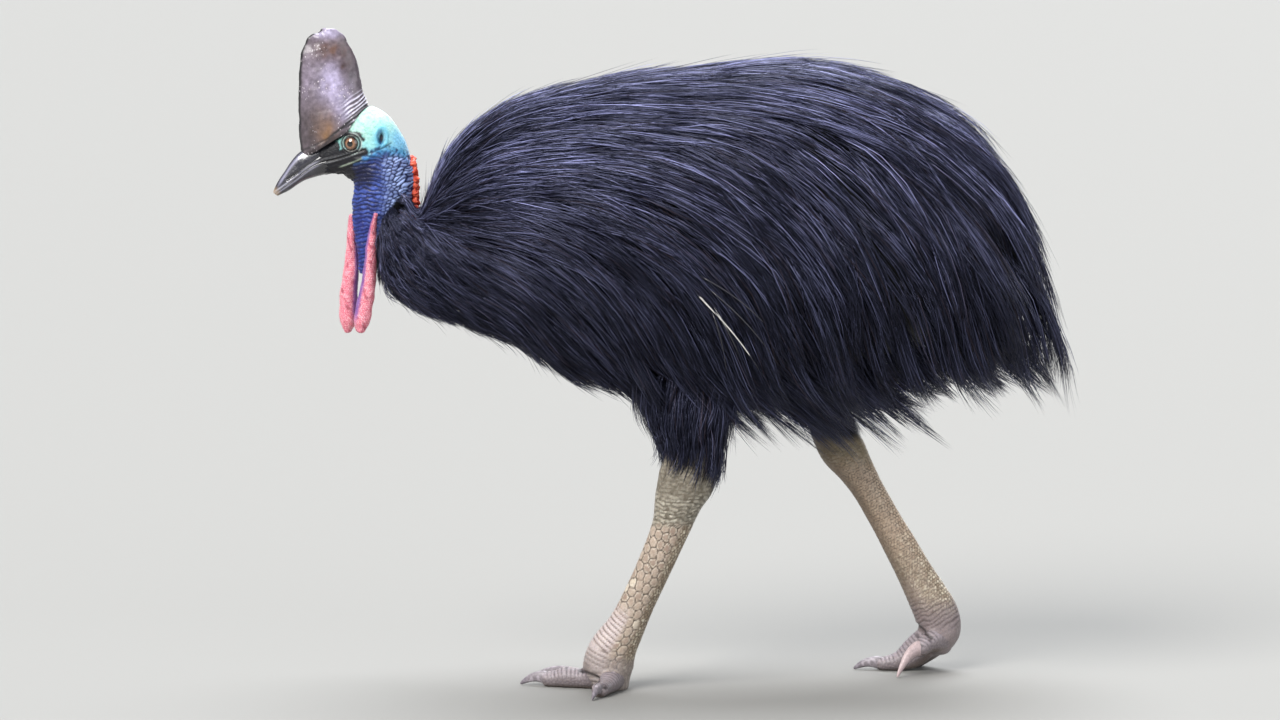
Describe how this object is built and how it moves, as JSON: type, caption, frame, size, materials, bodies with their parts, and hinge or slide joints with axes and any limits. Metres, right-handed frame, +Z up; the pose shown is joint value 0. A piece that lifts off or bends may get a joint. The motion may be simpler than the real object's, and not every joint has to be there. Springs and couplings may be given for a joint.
{
  "type": "cassowary",
  "caption": "Life-size still model of a walking southern cassowary with shaggy black plumage, tall casque, blue neck, red wattles and scaled legs.",
  "frame": {"origin": "on the floor under the middle of the bird's box", "axes": "the bird looks along -X, its left side faces -Y and +Z is up"},
  "size_m": [1.3109, 0.4616, 1.084],
  "materials": {
    "plumage": "hair-like black feathers with a soft blue-violet sheen",
    "quill": "bare horny wing quills, semi-gloss",
    "neck_skin": "wrinkled bare blue skin, soft gloss",
    "face_skin": "smooth pale aqua skin, soft gloss",
    "bill_horn": "dark horn, satin",
    "casque_horn": "worn brown horn, satin",
    "eye": "wet glossy brown eye",
    "wattle_skin": "pebbled pink-red skin, soft gloss",
    "leg_skin": "dry grey-brown scales",
    "foot_skin": "dry grey scutes",
    "claw_horn": "worn grey horn"
  },
  "bodies": {
    "root": {"torso": "plumage", "neck": "neck_skin", "head": "face_skin", "bill_upper": "bill_horn", "bill_lower": "bill_horn", "casque": "casque_horn", "eye_left": "eye", "wattle_left": "wattle_skin", "wing_left": "quill", "thigh_left": "plumage", "shank_left": "leg_skin", "toe_inner_left": "foot_skin", "claw_inner_left": "claw_horn", "toe_middle_left": "foot_skin", "claw_middle_left": "claw_horn", "toe_outer_left": "foot_skin", "claw_outer_left": "claw_horn", "eye_right": "eye", "wattle_right": "wattle_skin", "wing_right": "quill", "thigh_right": "plumage", "shank_right": "leg_skin", "toe_inner_right": "foot_skin", "claw_inner_right": "claw_horn", "toe_middle_right": "foot_skin", "claw_middle_right": "claw_horn", "toe_outer_right": "foot_skin", "claw_outer_right": "claw_horn"}
  },
  "joints": []
}
